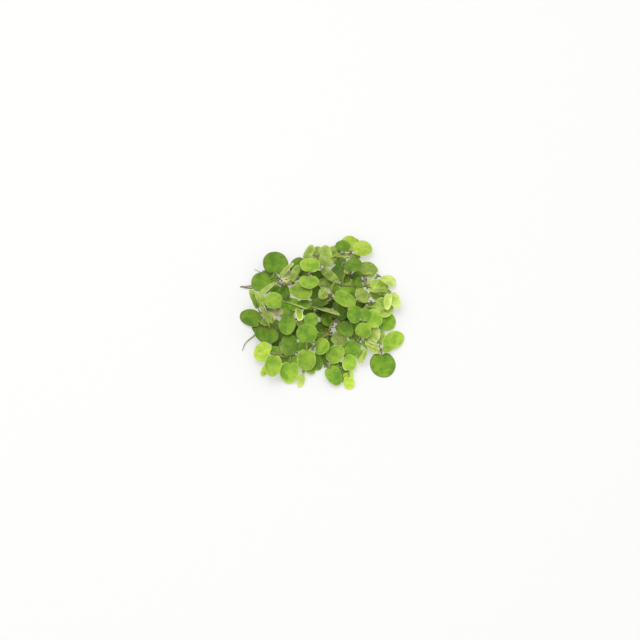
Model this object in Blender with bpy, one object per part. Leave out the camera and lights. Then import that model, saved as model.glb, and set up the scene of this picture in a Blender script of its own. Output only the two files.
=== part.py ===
"""A clump of water spangles, a small floating fern, lifted out and laid on a flat surface.

One branching colony: thin stems, a pair of leaves on short stalks at every joint of a stem, and a
brown root-like leaf at some joints. The pieces lie on each other as they were put down, the lowest
first. Each pair's row gives where it shows from above and in front, and the piece then rests on
what is already there.
"""

import math
from collections import namedtuple

import bmesh
import bpy
import numpy as np

# Driving sizes, in millimetres. The part is made in metres.
MM = 0.001
GAP = 0.3
LEAF_THICK = 0.46
STALK_LONG = 1.3
STALK_HALF = 0.42
STALK_THICK = 0.7
JOINT_RADIUS = 0.55
STEM_RADIUS = 0.5
ROOT_RADIUS = 0.5
ROOT_TIP = 0.3
ROOT_START = 1.8
ROD_SPACING = 2.6

# How a leaf is formed. The angles run round the blade from its stalk to its tip, and the first two
# values are shares of the stalk: where its ring is, and how far out a leaf may touch its twin.
STALK_RING = 0.8
STALK_CLEAR = 1.3
BLADE_ANGLES = tuple(math.radians(angle) for angle in (48, 84, 120, 156))
ACROSS = (-1.0, -0.5, 0.0, 0.5, 1.0)
CUP = 0.16
DROOP = 0.05
LOBE = 0.2

# The table's places are as seen from in front, this far above the surface.
VIEW_ELEVATION = math.radians(60.0)

# How a leaf settles: how far its tip may hang or rise for its length, the longest it may come out
# with its stalk, the steps it is tried in, and where a search for room ends.
HANG = 0.28
LIFT = 0.55
LONGEST = 14.8
TIP_STEP = 0.2
JOINT_STEP = 0.3
HIGHEST = 25.0
TRIES = 20

# The heap, as the height of what lies on each small square of the surface.
CELL = 0.25
REACH = 60.0
CLOSE = 0.01

# How finely a stem's line is drawn, and how often it is pulled taut.
LINE_STEP = 0.5
PULLS = 60
ROUND_TURNS = np.linspace(0, 2 * math.pi, 8, endpoint=False)

# Colour and roughness of each age of leaf, and of stems and roots.
TONES = {
    "old": ((0.10, 0.21, 0.03), 0.6),
    "green": ((0.22, 0.36, 0.06), 0.55),
    "fresh": ((0.30, 0.47, 0.09), 0.5),
    "lime": ((0.46, 0.60, 0.08), 0.5),
    "velvet": ((0.27, 0.38, 0.13), 0.7),
    "shade": ((0.07, 0.14, 0.02), 0.65),
    "pale": ((0.48, 0.56, 0.27), 0.6),
    "stem": ((0.30, 0.33, 0.10), 0.6),
    "root": ((0.16, 0.10, 0.04), 0.8),
}

Leaf = namedtuple("Leaf", "tip width tone rise roll cup")


def leaf(tip, width, tone, rise=0.0, roll=0.0, cup=CUP):
    """A row's leaf: where its tip shows, and how it is formed and turned on its stalk."""
    return Leaf(tip, width, tone, rise, roll, cup)


# Each stem, and the pair of leaves that it branches from.
STEMS = {
    "main": None,
    "left": ("main", 2),
    "back_left": ("main", 1),
    "right_front": ("main", 3),
    "front": ("main", 3),
    "inner_front": ("front", 1),
    "left_front": ("inner_front", 1),
    "inner_left": ("main", 2),
    "middle": ("left", 1),
    "back": ("main", 2),
    "back_right": ("back", 1),
    "crown": ("back_left", 1),
    "crest": ("main", 2),
    "right": ("back", 1),
}

# The pairs in the order they lie, lowest first. Each row has the stem and the pair's number on it,
# where the joint shows, and its two leaves: where the tip shows, the width and the tone, then for
# some how far the tip stands above where it would hang, the roll in degrees with the right-hand edge
# down, and how far the edges curl up for the leaf's half width.
PAIRS = (
    ("main", 1, (-8.0, 14.5), leaf((-10.5, 27.0), 9.0, "old"), leaf((-1.5, 6.0), 8.0, "shade")),
    ("main", 2, (6.0, 6.5), leaf((-6.5, 3.5), 7.0, "pale", roll=34), leaf((12.5, 1.0), 9.0, "shade")),
    ("main", 3, (7.5, -5.0), leaf((-0.5, -4.5), 8.0, "shade"), leaf((14.0, -12.0), 8.0, "shade")),
    ("left", 1, (-20.5, -7.5), leaf((-22.0, -19.0), 8.0, "shade"), leaf((-14.0, -8.0), 6.0, "shade")),
    ("left", 2, (-29.0, -6.3),
     leaf((-40.5, -1.5), 9.0, "old", roll=-8), leaf((-26.5, -16.0), 12.0, "old", roll=-12)),
    ("main", 5, (25.5, -9.0),
     leaf((14.0, -7.0), 7.0, "green"), leaf((36.5, -2.0), 11.5, "green", roll=10)),
    ("back_left", 1, (-20.5, 13.5),
     leaf((-23.5, 6.0), 7.0, "shade"), leaf((-11.0, 17.0), 8.0, "pale", roll=-42)),
    ("back_left", 3, (-24.5, 16.5),
     leaf((-35.0, 12.5), 11.0, "old"), leaf((-22.8, 30.0), 12.5, "old", rise=5, roll=10)),
    ("back_left", 2, (-22.5, 15.0),
     leaf((-32.0, 7.0), 7.0, "pale", roll=45), leaf((-14.5, 24.5), 7.5, "pale", roll=-50)),
    ("right_front", 2, (22.5, -16.5),
     leaf((19.0, -25.5), 7.5, "pale", roll=50), leaf((27.0, -8.0), 8.0, "pale")),
    ("right_front", 3, (28.8, -19.2),
     leaf((31.3, -33.0), 13.0, "old"), leaf((40.2, -11.3), 9.5, "lime", roll=12, rise=1)),
    ("right_front", 1, (17.5, -15.0),
     leaf((12.0, -23.5), 9.5, "green"), leaf((22.5, -6.5), 8.5, "fresh")),
    ("front", 1, (3.5, -11.0), leaf((-3.0, -16.0), 7.0, "shade"), leaf((12.0, -16.0), 8.0, "velvet")),
    ("inner_front", 2, (-9.5, -29.5),
     leaf((-11.0, -37.5), 4.5, "pale"), leaf((-3.5, -29.0), 7.0, "fresh")),
    ("front", 3, (13.0, -32.0),
     leaf((13.5, -38.5), 5.5, "lime"), leaf((14.0, -21.5), 7.0, "fresh", rise=1)),
    ("front", 2, (2.5, -27.0), leaf((9.0, -37.0), 8.0, "green"), leaf((9.5, -17.5), 8.8, "fresh")),
    ("left_front", 1, (-15.5, -23.0),
     leaf((-17.0, -11.0), 8.0, "green"), leaf((-16.5, -35.5), 9.5, "green")),
    ("left_front", 2, (-23.5, -20.0),
     leaf((-33.5, -20.5), 10.0, "lime", roll=-10), leaf((-24.5, -32.0), 8.5, "fresh", cup=0.3)),
    ("inner_left", 1, (-16.2, -0.5),
     leaf((-16.2, 7.0), 9.5, "green"), leaf((-17.8, -11.5), 8.5, "green")),
    ("inner_left", 3, (-31.5, -0.5),
     leaf((-35.5, 11.0), 8.0, "velvet", roll=50), leaf((-23.0, -4.0), 5.0, "pale")),
    ("inner_left", 2, (-28.0, 0.0),
     leaf((-32.5, 9.0), 8.0, "velvet", roll=48), leaf((-24.5, -6.0), 3.5, "velvet")),
    ("inner_front", 1, (-5.5, -19.5),
     leaf((-1.0, -29.0), 6.0, "shade"), leaf((3.5, -16.5), 9.0, "fresh")),
    ("middle", 1, (-11.0, -6.5),
     leaf((-11.5, 1.0), 4.5, "lime", rise=1, cup=0.5), leaf((-2.0, -4.0), 7.5, "green")),
    ("middle", 2, (-7.5, -18.5),
     leaf((-8.0, -29.5), 9.5, "fresh"), leaf((-7.5, -7.0), 11.0, "green", rise=2)),
    ("back", 1, (6.5, 13.0), leaf((-2.5, 14.5), 6.0, "velvet"), leaf((17.5, 11.5), 8.5, "fresh")),
    ("back", 3, (11.0, 28.5), leaf((3.0, 31.5), 6.5, "velvet"), leaf((15.0, 38.0), 7.0, "lime")),
    ("back_right", 1, (23.0, 13.5),
     leaf((16.5, 13.5), 8.0, "shade"), leaf((33.5, 10.5), 9.0, "velvet")),
    ("back_right", 2, (28.0, 18.5),
     leaf((18.0, 23.0), 9.0, "green"), leaf((36.5, 13.0), 7.0, "lime", roll=-30)),
    ("back", 2, (10.5, 25.0), leaf((7.0, 15.0), 8.0, "old"), leaf((19.5, 21.5), 10.0, "old")),
    ("back", 4, (15.0, 30.0), leaf((7.5, 35.0), 8.0, "old"), leaf((25.0, 33.0), 9.5, "lime")),
    ("crown", 4, (-2.0, 28.0), leaf((-9.0, 30.0), 7.5, "velvet"), leaf((5.0, 29.5), 8.0, "velvet")),
    ("crown", 3, (-2.0, 22.5), leaf((4.8, 26.5), 7.5, "velvet"), leaf((8.5, 14.5), 7.0, "velvet")),
    ("crest", 1, (-5.0, 2.0),
     leaf((-12.5, 4.0), 6.0, "shade"), leaf((9.0, -1.5), 7.5, "pale", roll=-46)),
    ("crest", 2, (-19.0, 5.0),
     leaf((-28.5, 5.0), 9.5, "fresh"), leaf((-7.5, 1.5), 6.0, "pale", roll=-50)),
    ("crown", 1, (-16.5, 14.0), leaf((-11.5, 23.0), 6.5, "velvet"), leaf((-6.0, 7.0), 11.0, "fresh")),
    ("crown", 2, (-6.5, 19.0), leaf((-5.5, 26.5), 10.0, "fresh"), leaf((-6.5, 11.5), 10.0, "fresh")),
    ("right", 1, (5.5, 8.7), leaf((-2.0, 8.5), 6.5, "velvet"), leaf((16.7, 3.0), 9.0, "fresh")),
    ("right", 2, (25.5, 4.5), leaf((17.0, 9.5), 8.5, "velvet"), leaf((34.6, -1.2), 11.5, "fresh")),
    ("right", 3, (34.5, 10.5),
     leaf((25.5, 10.0), 6.0, "green", roll=40), leaf((37.5, 1.5), 9.0, "pale", cup=0.5)),
    ("main", 4, (21.0, -5.0), leaf((13.0, 0.0), 8.5, "green"), leaf((30.0, -3.5), 9.5, "fresh")),
)

# The leaf that lies level on the surface, by the stem, number and side of its pair.
LEVEL_LEAF = ("right_front", 3, 0)

# Root tufts: the pair they grow under, and the points they pass, as seen.
ROOTS = {
    "right": (("right", 2), ((22.5, 2.5), (19.0, 1.0))),
    "far_left": (("back_left", 3), ((-34.0, 12.5), (-41.0, 12.3))),
    "left_front": (("left", 2), ((-33.0, -12.0), (-38.0, -16.0), (-39.5, -20.0))),
    "back": (("back_right", 1), ((18.0, 17.0), (12.0, 16.0))),
    "centre": (("main", 3), ((3.5, -4.5), (0.5, -8.5))),
    "inner": (("right_front", 1), ((13.5, -11.0), (10.0, -7.5))),
}


class Heap:
    """The height of the top of what lies on each small square."""

    def __init__(self):
        count = int(2 * REACH / CELL)
        self.height = np.full((count, count), -GAP)

    def cells(self, points):
        index = np.round((points[:, :2] + REACH) / CELL).astype(int)
        return index[:, 0], index[:, 1]

    def over(self, points):
        """The least height at which something may lie over these points."""
        return self.height[self.cells(points)] + GAP

    def add(self, points):
        """Puts the points on the heap, each with the squares next to its own."""
        across, along = self.cells(points)
        for step_x in (-1, 0, 1):
            for step_y in (-1, 0, 1):
                np.maximum.at(self.height, (across + step_x, along + step_y), points[:, 2])


def from_view(place, height):
    """The point at this height that shows at this place."""
    across, up = place
    y = (up - height * math.cos(VIEW_ELEVATION)) / math.sin(VIEW_ELEVATION)
    return np.array((across, y, height))


def unit(vector):
    return vector / np.linalg.norm(vector)


def spread(sheet, finer=8):
    """A sheet of points filled in between its rows and columns."""
    for axis in (0, 1):
        count = sheet.shape[axis]
        wanted = np.linspace(0, count - 1, (count - 1) * finer + 1)
        low = np.minimum(wanted.astype(int), count - 2)
        part = wanted - low
        shape = (-1, 1, 1) if axis == 0 else (1, -1, 1)
        part = part.reshape(shape)
        sheet = np.take(sheet, low, axis) * (1 - part) + np.take(sheet, low + 1, axis) * part
    return sheet.reshape(-1, 3)


def blade(joint, leaf, tip_rise, level=False):
    """The upper and lower sheet of a leaf, as rows from its stalk to its tip."""
    base = joint.copy()
    if level:
        base[2] = LEAF_THICK / 2
        tip_rise = 0.0
    tip = from_view(leaf.tip, base[2] + tip_rise)
    along = unit(tip - base)
    flat_right = unit(np.cross(along, (0.0, 0.0, 1.0)))
    flat_up = np.cross(flat_right, along)
    turn = math.radians(leaf.roll)
    right = flat_right * math.cos(turn) - flat_up * math.sin(turn)
    up = flat_up * math.cos(turn) + flat_right * math.sin(turn)
    blade_long = np.linalg.norm(tip - base) - STALK_LONG
    cup = 0.0 if level else leaf.cup
    droop = 0.0 if level else DROOP
    stalk_thick = LEAF_THICK if level else STALK_THICK
    rows = [(STALK_LONG * STALK_RING, STALK_HALF, 0.0, stalk_thick, 0.0)]
    for angle in BLADE_ANGLES:
        share = (1 - math.cos(angle)) / 2
        half = math.sin(angle) * leaf.width / 2
        rows.append((STALK_LONG + share * blade_long, half, cup * half, LEAF_THICK, share))
    sheets = []
    for side in (1, -1):
        sheet = []
        for distance, half, edge_up, thick, share in rows:
            row = []
            for across in ACROSS:
                back = LOBE * half * across**2 * (1 - share) if share else 0.0
                face = side * thick / 2 if abs(across) < 1 else 0.0
                height = face + edge_up * across**2 - droop * blade_long * share**2
                row.append(base + along * (distance - back) + right * half * across + up * height)
            sheet.append(row)
        sheets.append(np.array(sheet))
    return sheets


def settle_leaf(heap, joint, leaf, level=False):
    """The leaf with its tip as low as what is under it lets it hang, or None."""
    if level:
        return blade(joint, leaf, 0.0, True)
    reach = np.linalg.norm(from_view(leaf.tip, joint[2]) - joint)
    rise = max(-HANG * reach, -joint[2]) + leaf.rise
    while rise <= LIFT * reach:
        length = np.linalg.norm(from_view(leaf.tip, joint[2] + rise) - joint)
        top, bottom = blade(joint, leaf, rise)
        points = spread(bottom)
        points = points[np.linalg.norm(points - joint, axis=1) > STALK_LONG * STALK_CLEAR]
        if length <= LONGEST and np.all(points[:, 2] >= heap.over(points)):
            return top, bottom
        rise += TIP_STEP
    return None


def is_level(stem, number, side):
    return (stem, number, side) == LEVEL_LEAF


def settle_pair(heap, row, least):
    """The pair's joint, no lower than asked, and its two leaves resting on the heap."""
    stem, number, place, *leaves = row
    height = max(least, JOINT_RADIUS)
    for _ in range(TRIES):
        joint = from_view(place, height)
        lowest = heap.over(joint[None])[0] + JOINT_RADIUS
        if height >= lowest - CLOSE:
            break
        height = lowest
    while True:
        joint = from_view(place, height)
        trial = Heap()
        trial.height = heap.height.copy()
        settled = []
        for side, leaf in enumerate(leaves):
            sheets = settle_leaf(trial, joint, leaf, is_level(stem, number, side))
            if sheets is None:
                break
            settled.append(sheets)
            trial.add(spread(sheets[0]))
        clear = joint[2] >= heap.over(joint[None])[0] + JOINT_RADIUS - CLOSE
        if clear and len(settled) == len(leaves):
            return joint, settled
        height += JOINT_STEP
        if height > HIGHEST:
            raise RuntimeError(f"there is no room for pair {number} of the {stem} stem")


def smooth_path(points):
    """Points at an even spacing along a smooth line through the given ones."""
    points = np.array(points)
    if len(points) == 2:
        points = np.array((points[0], points.mean(axis=0), points[1]))
    before = 2 * points[0] - points[1]
    after = 2 * points[-1] - points[-2]
    guide = np.vstack((before, points, after))
    path = []
    for a, b, c, d in zip(guide, guide[1:], guide[2:], guide[3:]):
        steps = max(2, round(np.linalg.norm(c - b) / LINE_STEP))
        for t in np.arange(steps) / steps:
            bend = 2 * b + (c - a) * t + (2 * a - 5 * b + 4 * c - d) * t**2
            path.append((bend + (3 * b - a - 3 * c + d) * t**3) / 2)
    path.append(points[-1])
    return np.array(path)


def lay(heap, points, radius):
    """A stem or root through the points, lifted over what it crosses like a stiff cord."""
    path = smooth_path(points)
    least = path[:, 2].copy()
    for turn in ROUND_TURNS:
        side = path + np.array((math.cos(turn), math.sin(turn), 0)) * radius
        least = np.maximum(least, heap.over(side) + radius)
    path[:, 2] = least
    for _ in range(PULLS):
        between = (path[:-2, 2] + path[2:, 2]) / 2
        path[1:-1, 2] = np.maximum(least[1:-1], between)
    return path


def rod_points(path, radius):
    """The top of a rod, as points for the heap."""
    rim = []
    for turn in ROUND_TURNS:
        rim.append(path + np.array((math.cos(turn), math.sin(turn), 0)) * radius)
    top = np.vstack([path, *rim])
    top[:, 2] += radius
    return top


def rows_of(stem):
    rows = [row for row in PAIRS if row[0] == stem]
    return sorted(rows, key=lambda row: row[1])


def lay_stem(heap, stem, joints):
    """The stem's path, under the joints of its pairs. Its last pair sits on its end."""
    points = []
    under = JOINT_RADIUS + GAP + STEM_RADIUS
    parent = STEMS[stem]
    if parent:
        start = joints[parent] + np.array((0.0, 0.0, under))
        points.append(start)
    rows = rows_of(stem)
    for row in rows:
        joint, _ = settle_pair(heap, row, STEM_RADIUS + under)
        points.append(joint - np.array((0.0, 0.0, under)))
    path = lay(heap, points, STEM_RADIUS)
    if parent:
        away = np.linalg.norm(path[:, :2] - joints[parent][:2], axis=1)
        path = path[away > JOINT_RADIUS]
    return path


def height_at(path, place):
    """The height of the path where it passes the point that shows at this place."""
    shown = path[:, 1] * math.sin(VIEW_ELEVATION) + path[:, 2] * math.cos(VIEW_ELEVATION)
    distance = np.hypot(path[:, 0] - place[0], shown - place[1])
    return path[np.argmin(distance), 2]


def settle_all():
    """Every stem, root and pair of leaves in its place, lowest first."""
    heap = Heap()
    joints, stems, roots, pairs = {}, {}, {}, {}
    above = STEM_RADIUS + GAP + JOINT_RADIUS
    for row in PAIRS:
        stem, number, place = row[:3]
        if stem not in stems:
            stems[stem] = lay_stem(heap, stem, joints)
            heap.add(rod_points(stems[stem], STEM_RADIUS))
            for other in rows_of(stem):
                joints[stem, other[1]] = from_view(other[2], height_at(stems[stem], other[2]) + above)
        for name, (pair, points) in ROOTS.items():
            if pair == (stem, number):
                beside = joints[pair] - np.array((0.0, 0.0, above))
                first = from_view(points[0], 0.0)
                beside += unit(first - beside) * ROOT_START
                route = [beside, first, *(from_view(point, 0.0) for point in points[1:])]
                roots[name] = lay(heap, route, ROOT_RADIUS)
                heap.add(rod_points(roots[name], ROOT_RADIUS))
        joint, leaves = settle_pair(heap, row, joints[stem, number][2])
        joints[stem, number] = joint
        pairs[stem, number] = (joint, leaves, row[3].tone)
        for top, _ in leaves:
            heap.add(spread(top))
    return stems, roots, pairs


def material(name, tone):
    colour, roughness = TONES[tone]
    made = bpy.data.materials.new(name)
    made.use_nodes = True
    shader = made.node_tree.nodes["Principled BSDF"]
    shader.inputs["Base Color"].default_value = (*colour, 1.0)
    shader.inputs["Roughness"].default_value = roughness
    shader.inputs["Metallic"].default_value = 0.0
    return made


def link(name, data, tone):
    piece = bpy.data.objects.new(name, data)
    data.materials.append(material(name, tone))
    bpy.context.scene.collection.objects.link(piece)
    return piece


def ring_of(top, bottom):
    """One closed ring round a leaf's row, from its right edge over the top and back beneath."""
    return [top[4], top[3], top[2], top[1], top[0], bottom[1], bottom[2], bottom[3]]


def joint_ring(joint, along):
    """The round joint, seen along the line from one stalk to the other."""
    right = unit(np.cross(along, (0.0, 0.0, 1.0)))
    up = np.cross(right, along)
    ring = []
    for turn in ROUND_TURNS:
        ring.append(joint + (right * math.cos(turn) + up * math.sin(turn)) * JOINT_RADIUS)
    return ring


def make_pair(name, joint, leaves, tone):
    """Two leaves and the joint between them as one closed body, ring by ring, tip to tip."""
    (first_top, first_bottom), (last_top, last_bottom) = leaves
    rings = []
    for top, bottom in zip(first_top[::-1], first_bottom[::-1]):
        rings.append(ring_of(top[::-1], bottom[::-1]))
    rings.append(joint_ring(joint, unit(last_top[0][2] - first_top[0][2])))
    for top, bottom in zip(last_top, last_bottom):
        rings.append(ring_of(top, bottom))
    shape = bmesh.new()
    loops = []
    for ring in rings:
        loops.append([shape.verts.new(point * MM) for point in ring])
    for one, two in zip(loops, loops[1:]):
        for here in range(len(one)):
            there = (here + 1) % len(one)
            shape.faces.new((one[here], one[there], two[there], two[here]))
    shape.faces.new(loops[0][::-1])
    shape.faces.new(loops[-1])
    bmesh.ops.recalc_face_normals(shape, faces=shape.faces)
    bmesh.ops.triangulate(shape, faces=shape.faces)
    mesh = bpy.data.meshes.new(name)
    shape.to_mesh(mesh)
    shape.free()
    mesh.shade_smooth()
    return link(name, mesh, tone)


def make_rod(name, path, radius, tip_radius, tone):
    """A stem or root: a round tube with closed ends along the path."""
    length = np.sum(np.linalg.norm(np.diff(path, axis=0), axis=1))
    count = max(3, round(length / ROD_SPACING) + 1)
    chosen = np.round(np.linspace(0, len(path) - 1, count)).astype(int)
    curve = bpy.data.curves.new(name, "CURVE")
    curve.dimensions = "3D"
    curve.bevel_depth = radius * MM
    curve.bevel_resolution = 1
    curve.use_fill_caps = True
    spline = curve.splines.new("POLY")
    spline.points.add(count - 1)
    for step, index in enumerate(chosen):
        spline.points[step].co = (*(path[index] * MM), 1.0)
        spline.points[step].radius = 1 + (tip_radius / radius - 1) * step / (count - 1)
    return link(name, curve, tone)


def clear_scene():
    for piece in list(bpy.data.objects):
        bpy.data.objects.remove(piece)


def centre(pieces):
    """How far all pieces move so that the clump's middle is over the origin."""
    points = np.vstack(pieces)
    middle = (points.min(axis=0) + points.max(axis=0)) / 2
    middle[2] = 0.0
    return middle


clear_scene()
stems, roots, pairs = settle_all()
outlines = [top.reshape(-1, 3) for _, leaves, _ in pairs.values() for top, _ in leaves]
shift = centre([*outlines, *stems.values(), *roots.values()])
for stem, path in stems.items():
    make_rod(f"stem_{stem}", path - shift, STEM_RADIUS, STEM_RADIUS, "stem")
for root, path in roots.items():
    make_rod(f"root_{root}", path - shift, ROOT_RADIUS, ROOT_TIP, "root")
for (stem, number), (joint, leaves, tone) in pairs.items():
    moved = [(top - shift, bottom - shift) for top, bottom in leaves]
    make_pair(f"leaves_{stem}_{number}", joint - shift, moved, tone)
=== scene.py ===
import math
import random

import bmesh
import bpy
import numpy as np
from mathutils import Matrix, Vector


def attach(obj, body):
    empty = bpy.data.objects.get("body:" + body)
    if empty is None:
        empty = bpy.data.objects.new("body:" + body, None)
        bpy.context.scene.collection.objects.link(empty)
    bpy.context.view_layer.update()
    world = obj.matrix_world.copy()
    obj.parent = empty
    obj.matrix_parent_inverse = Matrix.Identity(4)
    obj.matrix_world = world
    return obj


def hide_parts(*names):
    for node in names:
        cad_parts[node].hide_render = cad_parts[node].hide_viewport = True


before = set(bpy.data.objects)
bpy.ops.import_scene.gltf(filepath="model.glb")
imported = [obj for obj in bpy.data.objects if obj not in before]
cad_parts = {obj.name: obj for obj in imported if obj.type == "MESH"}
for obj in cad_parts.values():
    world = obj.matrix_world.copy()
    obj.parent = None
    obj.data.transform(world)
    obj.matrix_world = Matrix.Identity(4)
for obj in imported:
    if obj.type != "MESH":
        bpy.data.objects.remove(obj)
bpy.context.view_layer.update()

# The table, the light and the camera.
# The clump lies on a plain white table that glows faintly, as one lit from below, so that shadows
# stay light. The room is white, with one large soft light. It is seen from in front and about 60
# degrees above, from far enough off that it is hardly foreshortened.
TABLE_SIZE = 4.0
TABLE_WHITE = (0.55, 0.55, 0.545, 1.0)
TABLE_GLOW = 0.345
ROOM_LIGHT = 0.95
LAMP_SIZE = 0.9
LAMP_HEIGHT = 1.1
LAMP_POWER = 3.2
VIEW_ELEVATION = math.radians(60)
VIEW_DISTANCE = 1.2
VIEW_WIDTH = 0.32
SENSOR = 36.0
AIM = Vector((-0.00094, -0.00382, 0.0))


def add_piece(name, shape, materials):
    """The finished shape as an object of the scene."""
    mesh = bpy.data.meshes.new(name)
    shape.to_mesh(mesh)
    shape.free()
    for material in materials:
        mesh.materials.append(material)
    mesh.shade_smooth()
    piece = bpy.data.objects.new(name, mesh)
    bpy.context.scene.collection.objects.link(piece)
    return piece


table_white = bpy.data.materials.new("table_white")
table_white.use_nodes = True
table_shader = table_white.node_tree.nodes["Principled BSDF"]
table_shader.inputs["Base Color"].default_value = TABLE_WHITE
table_shader.inputs["Roughness"].default_value = 0.8
table_shader.inputs["Emission Color"].default_value = (1.0, 1.0, 0.99, 1.0)
table_shader.inputs["Emission Strength"].default_value = TABLE_GLOW
table_shape = bmesh.new()
bmesh.ops.create_grid(table_shape, x_segments=1, y_segments=1, size=TABLE_SIZE / 2)
table = add_piece("table", table_shape, [table_white])

bpy.context.scene.view_settings.view_transform = "Standard"
room = bpy.data.worlds.new("white_room")
room.use_nodes = True
room.node_tree.nodes["Background"].inputs["Strength"].default_value = ROOM_LIGHT
room.node_tree.nodes["Background"].inputs["Color"].default_value = (1.0, 1.0, 1.0, 1.0)
bpy.context.scene.world = room

lamp = bpy.data.lights.new("lamp", "AREA")
lamp.shape = "DISK"
lamp.size = LAMP_SIZE
lamp.energy = LAMP_POWER
lamp_place = bpy.data.objects.new("lamp", lamp)
lamp_place.location = (-0.25, 0.2, LAMP_HEIGHT)
lamp_place.rotation_euler = (-lamp_place.location).to_track_quat("-Z", "Y").to_euler()
bpy.context.scene.collection.objects.link(lamp_place)

camera = bpy.data.cameras.new("camera")
camera.sensor_width = SENSOR
camera.lens = SENSOR * VIEW_DISTANCE / VIEW_WIDTH
camera.clip_end = 10.0
camera_place = bpy.data.objects.new("camera", camera)
towards = Vector((0.0, -math.cos(VIEW_ELEVATION), math.sin(VIEW_ELEVATION)))
camera_place.location = AIM + towards * VIEW_DISTANCE
camera_place.rotation_euler = (math.pi / 2 - VIEW_ELEVATION, 0.0, 0.0)
bpy.context.scene.collection.objects.link(camera_place)
bpy.context.scene.camera = camera_place

# The stems.
# A thin, soft, creeping stem that branches: green to brown, a little thicker at each joint, with
# short brownish hairs all along. One piece for each branch, on the line of its rod.
MM = 0.001
STEM_RADIUS = 0.42 * MM
RING_EDGE = 1.3 * MM
# Where a stretch of stem sags under a leaf: how far along its rod this starts, is deepest and ends,
# and how deep it is.
SAGS = {"stem_middle": (0.45, 1.0, 2.0, 3.4 * MM), "stem_back_right": (0.02, 0.35, 0.75, 2.2 * MM)}


def solid_shape(node):
    """A node's solid with its loose triangles joined."""
    shape = bmesh.new()
    shape.from_mesh(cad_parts[node].data)
    bmesh.ops.remove_doubles(shape, verts=shape.verts, dist=0.001 * MM)
    return shape


def islands(verts, joins):
    """The points in groups, each held together by edges for which joins is true."""
    left = set(verts)
    groups = []
    for start in verts:
        if start not in left:
            continue
        left.discard(start)
        group = [start]
        for vert in group:
            for edge in vert.link_edges:
                other = edge.other_vert(vert)
                if other in left and joins(edge):
                    left.discard(other)
                    group.append(other)
        groups.append(group)
    return groups


def rod_line(node):
    """The middle line of a rod: the middles of its rings, in order from one end."""
    shape = solid_shape(node)
    rings = islands(list(shape.verts), lambda edge: edge.calc_length() < RING_EDGE)
    ring_of = {vert: number for number, ring in enumerate(rings) for vert in ring}
    beside = [set() for _ in rings]
    for edge in shape.edges:
        one, other = (ring_of[vert] for vert in edge.verts)
        if one != other:
            beside[one].add(other)
            beside[other].add(one)
    here = next(number for number, others in enumerate(beside) if len(others) == 1)
    line = []
    passed = set()
    while here is not None:
        line.append(np.mean([vert.co for vert in rings[here]], axis=0))
        passed.add(here)
        here = next(iter(beside[here] - passed), None)
    shape.free()
    return line


def tubes(name, lines, sides=8):
    """Smooth round tubes with closed ends, one along each line of places and radii."""
    curve = bpy.data.curves.new(name, "CURVE")
    curve.dimensions = "3D"
    curve.bevel_depth = 1.0
    curve.bevel_resolution = (sides - 4) // 2
    curve.resolution_u = 5
    curve.use_fill_caps = True
    for places, radii in lines:
        spline = curve.splines.new("NURBS")
        spline.points.add(len(places) - 1)
        for point, place, radius in zip(spline.points, places, radii):
            point.co = (*place, 1.0)
            point.radius = radius
        spline.order_u = 3
        spline.use_endpoint_u = True
    guide = bpy.data.objects.new(name, curve)
    bpy.context.scene.collection.objects.link(guide)
    mesh = bpy.data.meshes.new_from_object(guide)
    shape = bmesh.new()
    shape.from_mesh(mesh)
    for face in shape.faces:
        if len(face.verts) > 4:
            for edge in face.edges:
                edge.smooth = False
    bpy.data.objects.remove(guide)
    bpy.data.curves.remove(curve)
    bpy.data.meshes.remove(mesh)
    return shape


def add_fuzz(shape, line, radius, per_mm, length, chance):
    """Thin straight hairs that stand out from a stem all round."""
    faces = []
    for start, end in zip(line, line[1:]):
        start, end = Vector(start), Vector(end)
        count = round((end - start).length / MM * per_mm)
        for _ in range(count):
            middle = start.lerp(end, chance.random())
            around = Vector((chance.gauss(0, 1), chance.gauss(0, 1), chance.gauss(0, 1)))
            way = (end - start).normalized()
            out = (around - way * around.dot(way)).normalized()
            lean = (out + way * chance.uniform(-0.5, 0.5)).normalized()
            depth = length * chance.uniform(0.5, 1.0)
            turn = lean.to_track_quat("Z", "Y").to_matrix().to_4x4()
            foot = middle + out * radius * 0.8 + lean * depth / 2
            if (foot + lean * depth / 2).z < 0.02 * MM:
                continue
            made = bmesh.ops.create_cone(shape, segments=3, radius1=0.03 * MM, radius2=0.01 * MM, depth=depth,
                                         matrix=Matrix.Translation(foot) @ turn)
            faces += {face for vert in made["verts"] for face in vert.link_faces}
    return faces


class Value:
    """A number that changes over a surface. Python's signs on it add the shader's Math nodes."""

    def __init__(self, paint, socket):
        self.paint = paint
        self.socket = socket

    def maths(self, operation, first, *others):
        inputs = dict(enumerate((first, *others)))
        return self.paint.node("ShaderNodeMath", {"operation": operation}, inputs)

    def __add__(self, other):
        return self.maths("ADD", self, other)

    def __sub__(self, other):
        return self.maths("SUBTRACT", self, other)

    def __rsub__(self, other):
        return self.maths("SUBTRACT", other, self)

    def __mul__(self, other):
        return self.maths("MULTIPLY", self, other)

    def __truediv__(self, other):
        return self.maths("DIVIDE", self, other)

    def __pow__(self, other):
        return self.maths("POWER", self, other)

    __radd__ = __add__
    __rmul__ = __mul__


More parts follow.
